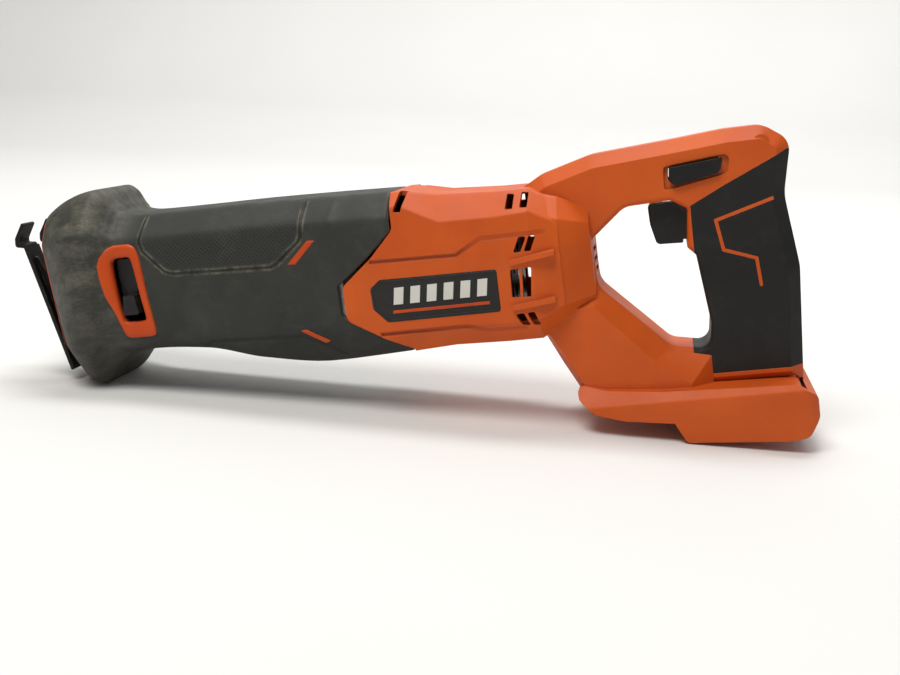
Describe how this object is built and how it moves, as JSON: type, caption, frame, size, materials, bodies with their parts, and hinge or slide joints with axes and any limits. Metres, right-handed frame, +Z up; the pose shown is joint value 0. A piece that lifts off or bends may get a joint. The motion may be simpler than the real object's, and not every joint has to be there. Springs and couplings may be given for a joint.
{
  "type": "reciprocating saw",
  "caption": "Cordless reciprocating saw with a D-handle, rubber boot, tilting shoe, lever blade clamp and open battery foot.",
  "frame": {"origin": "centre of the bounding box's bottom face, on the floor the saw stands on", "axes": "+X from the shoe to the rear of the handle, +Y towards the tool's right side, +Z up; the plunger axis leans 10 degrees nose-down in X-Z"},
  "size_m": [0.5016, 0.1032, 0.183],
  "materials": {
    "orange_housing": "spark-eroded moulding grain",
    "boot_rubber": "moulded thermoplastic rubber",
    "orange_trim": "moulded",
    "cast_aluminium": "as cast",
    "black_plastic": "moulded",
    "badge_plastic": "moulded, printed bars",
    "steel": "ground",
    "black_steel": "black oxide",
    "sintered_bronze": "oil filled",
    "felt": "pressed felt",
    "copper": "enamelled copper",
    "magnet": "sintered ferrite",
    "lamination": "stacked sheet",
    "carbon": "pressed carbon",
    "lead_jacket": "silicone",
    "nitrile": "moulded nitrile",
    "zinc_steel": "zinc plated"
  },
  "bodies": {
    "tool": {"boot": "boot_rubber", "boot_front_ring": "orange_trim", "boot_window_frame": "orange_trim", "boot_accents": "orange_trim", "gear_case": "cast_aluminium", "gear_case_cover": "cast_aluminium", "gear_case_bolts": "zinc_steel", "plunger_front_bush": "sintered_bronze", "plunger_seal": "nitrile", "felt_wiper": "felt", "plunger_rear_bush": "sintered_bronze", "crank_bearings": "steel", "motor_front_bearing": "steel", "motor_rear_bearing": "steel", "motor_can": "zinc_steel", "motor_magnets": "magnet", "motor_end_cap": "black_plastic", "brush_card": "black_plastic", "motor_brushes": "carbon", "brush_springs": "steel", "housing_screws": "zinc_steel", "housing_left": "orange_housing", "housing_right": "orange_housing", "grip_skin_left": "boot_rubber", "grip_skin_right": "boot_rubber", "badge_left": "badge_plastic", "badge_right": "badge_plastic", "switch_module": "black_plastic", "trigger_spring": "steel", "terminal_block": "black_plastic", "battery_contacts": "copper", "motor_leads": "lead_jacket", "battery_leads": "lead_jacket", "shoe_bracket": "black_steel", "bracket_screws": "zinc_steel", "shoe_pivot_pin": "zinc_steel"},
    "plunger": {"plunger": "steel", "crank_pin": "steel", "crank_roller": "steel", "blade_clamp_body": "steel", "clamp_retaining_ring": "steel", "clamp_spring": "steel", "clamp_pin": "steel"},
    "clamp_collar": {"clamp_collar": "black_steel"},
    "crank": {"crank_gear": "steel", "crank_shaft": "steel"},
    "rotor": {"motor_pinion": "steel", "motor_shaft": "steel", "motor_fan": "black_plastic", "armature_core": "lamination", "armature_windings": "copper", "commutator": "copper"},
    "release_lever": {"release_lever": "black_plastic"},
    "trigger": {"trigger": "black_plastic"},
    "lock_bar": {"lock_off_bar": "black_plastic"},
    "shoe": {"shoe": "black_steel"}
  },
  "joints": [
    {"name": "plunger_slide", "type": "slide", "parent": "tool", "child": "plunger", "axis": [0.9848, 0, 0.1736], "range_m": [0, 0.0286]},
    {"name": "clamp_turn", "type": "hinge", "parent": "plunger", "child": "clamp_collar", "pos_m": [-0.20361, 0, 0.06028], "axis": [-0.9848, 0, -0.1736], "range_deg": [0, 25]},
    {"name": "release_lever_turn", "type": "hinge", "parent": "tool", "child": "release_lever", "pos_m": [-0.16619, 0, 0.06688], "axis": [-0.9848, 0, -0.1736], "range_deg": [0, 25], "stiffness_Nm_per_rad": 0.1},
    {"name": "crank_spin", "type": "hinge", "parent": "tool", "child": "crank", "pos_m": [-0.06423, 0, 0.06455], "axis": [-0.1736, 0, 0.9848], "continuous": true},
    {"name": "motor_spin", "type": "hinge", "parent": "tool", "child": "rotor", "pos_m": [0.0149, 0, 0.07647], "axis": [0.9848, 0, 0.1736], "continuous": true},
    {"name": "trigger_squeeze", "type": "slide", "parent": "tool", "child": "trigger", "axis": [0.9848, 0, 0.1736], "range_m": [0, 0.0065], "stiffness_N_per_m": 900, "deforming": ["trigger_spring"]},
    {"name": "lock_bar_slide", "type": "slide", "parent": "tool", "child": "lock_bar", "axis": [0, 1, 0], "range_m": [0, 0.005]},
    {"name": "shoe_tilt", "type": "hinge", "parent": "tool", "child": "shoe", "pos_m": [-0.2192, 0, 0.03925], "axis": [0, 1, 0], "range_deg": [0, 10]}
  ],
  "couplings": [
    {"joint": "motor_spin", "follows": "crank_spin", "ratio": -6},
    {"joint": "clamp_turn", "follows": "release_lever_turn", "ratio": 1}
  ]
}
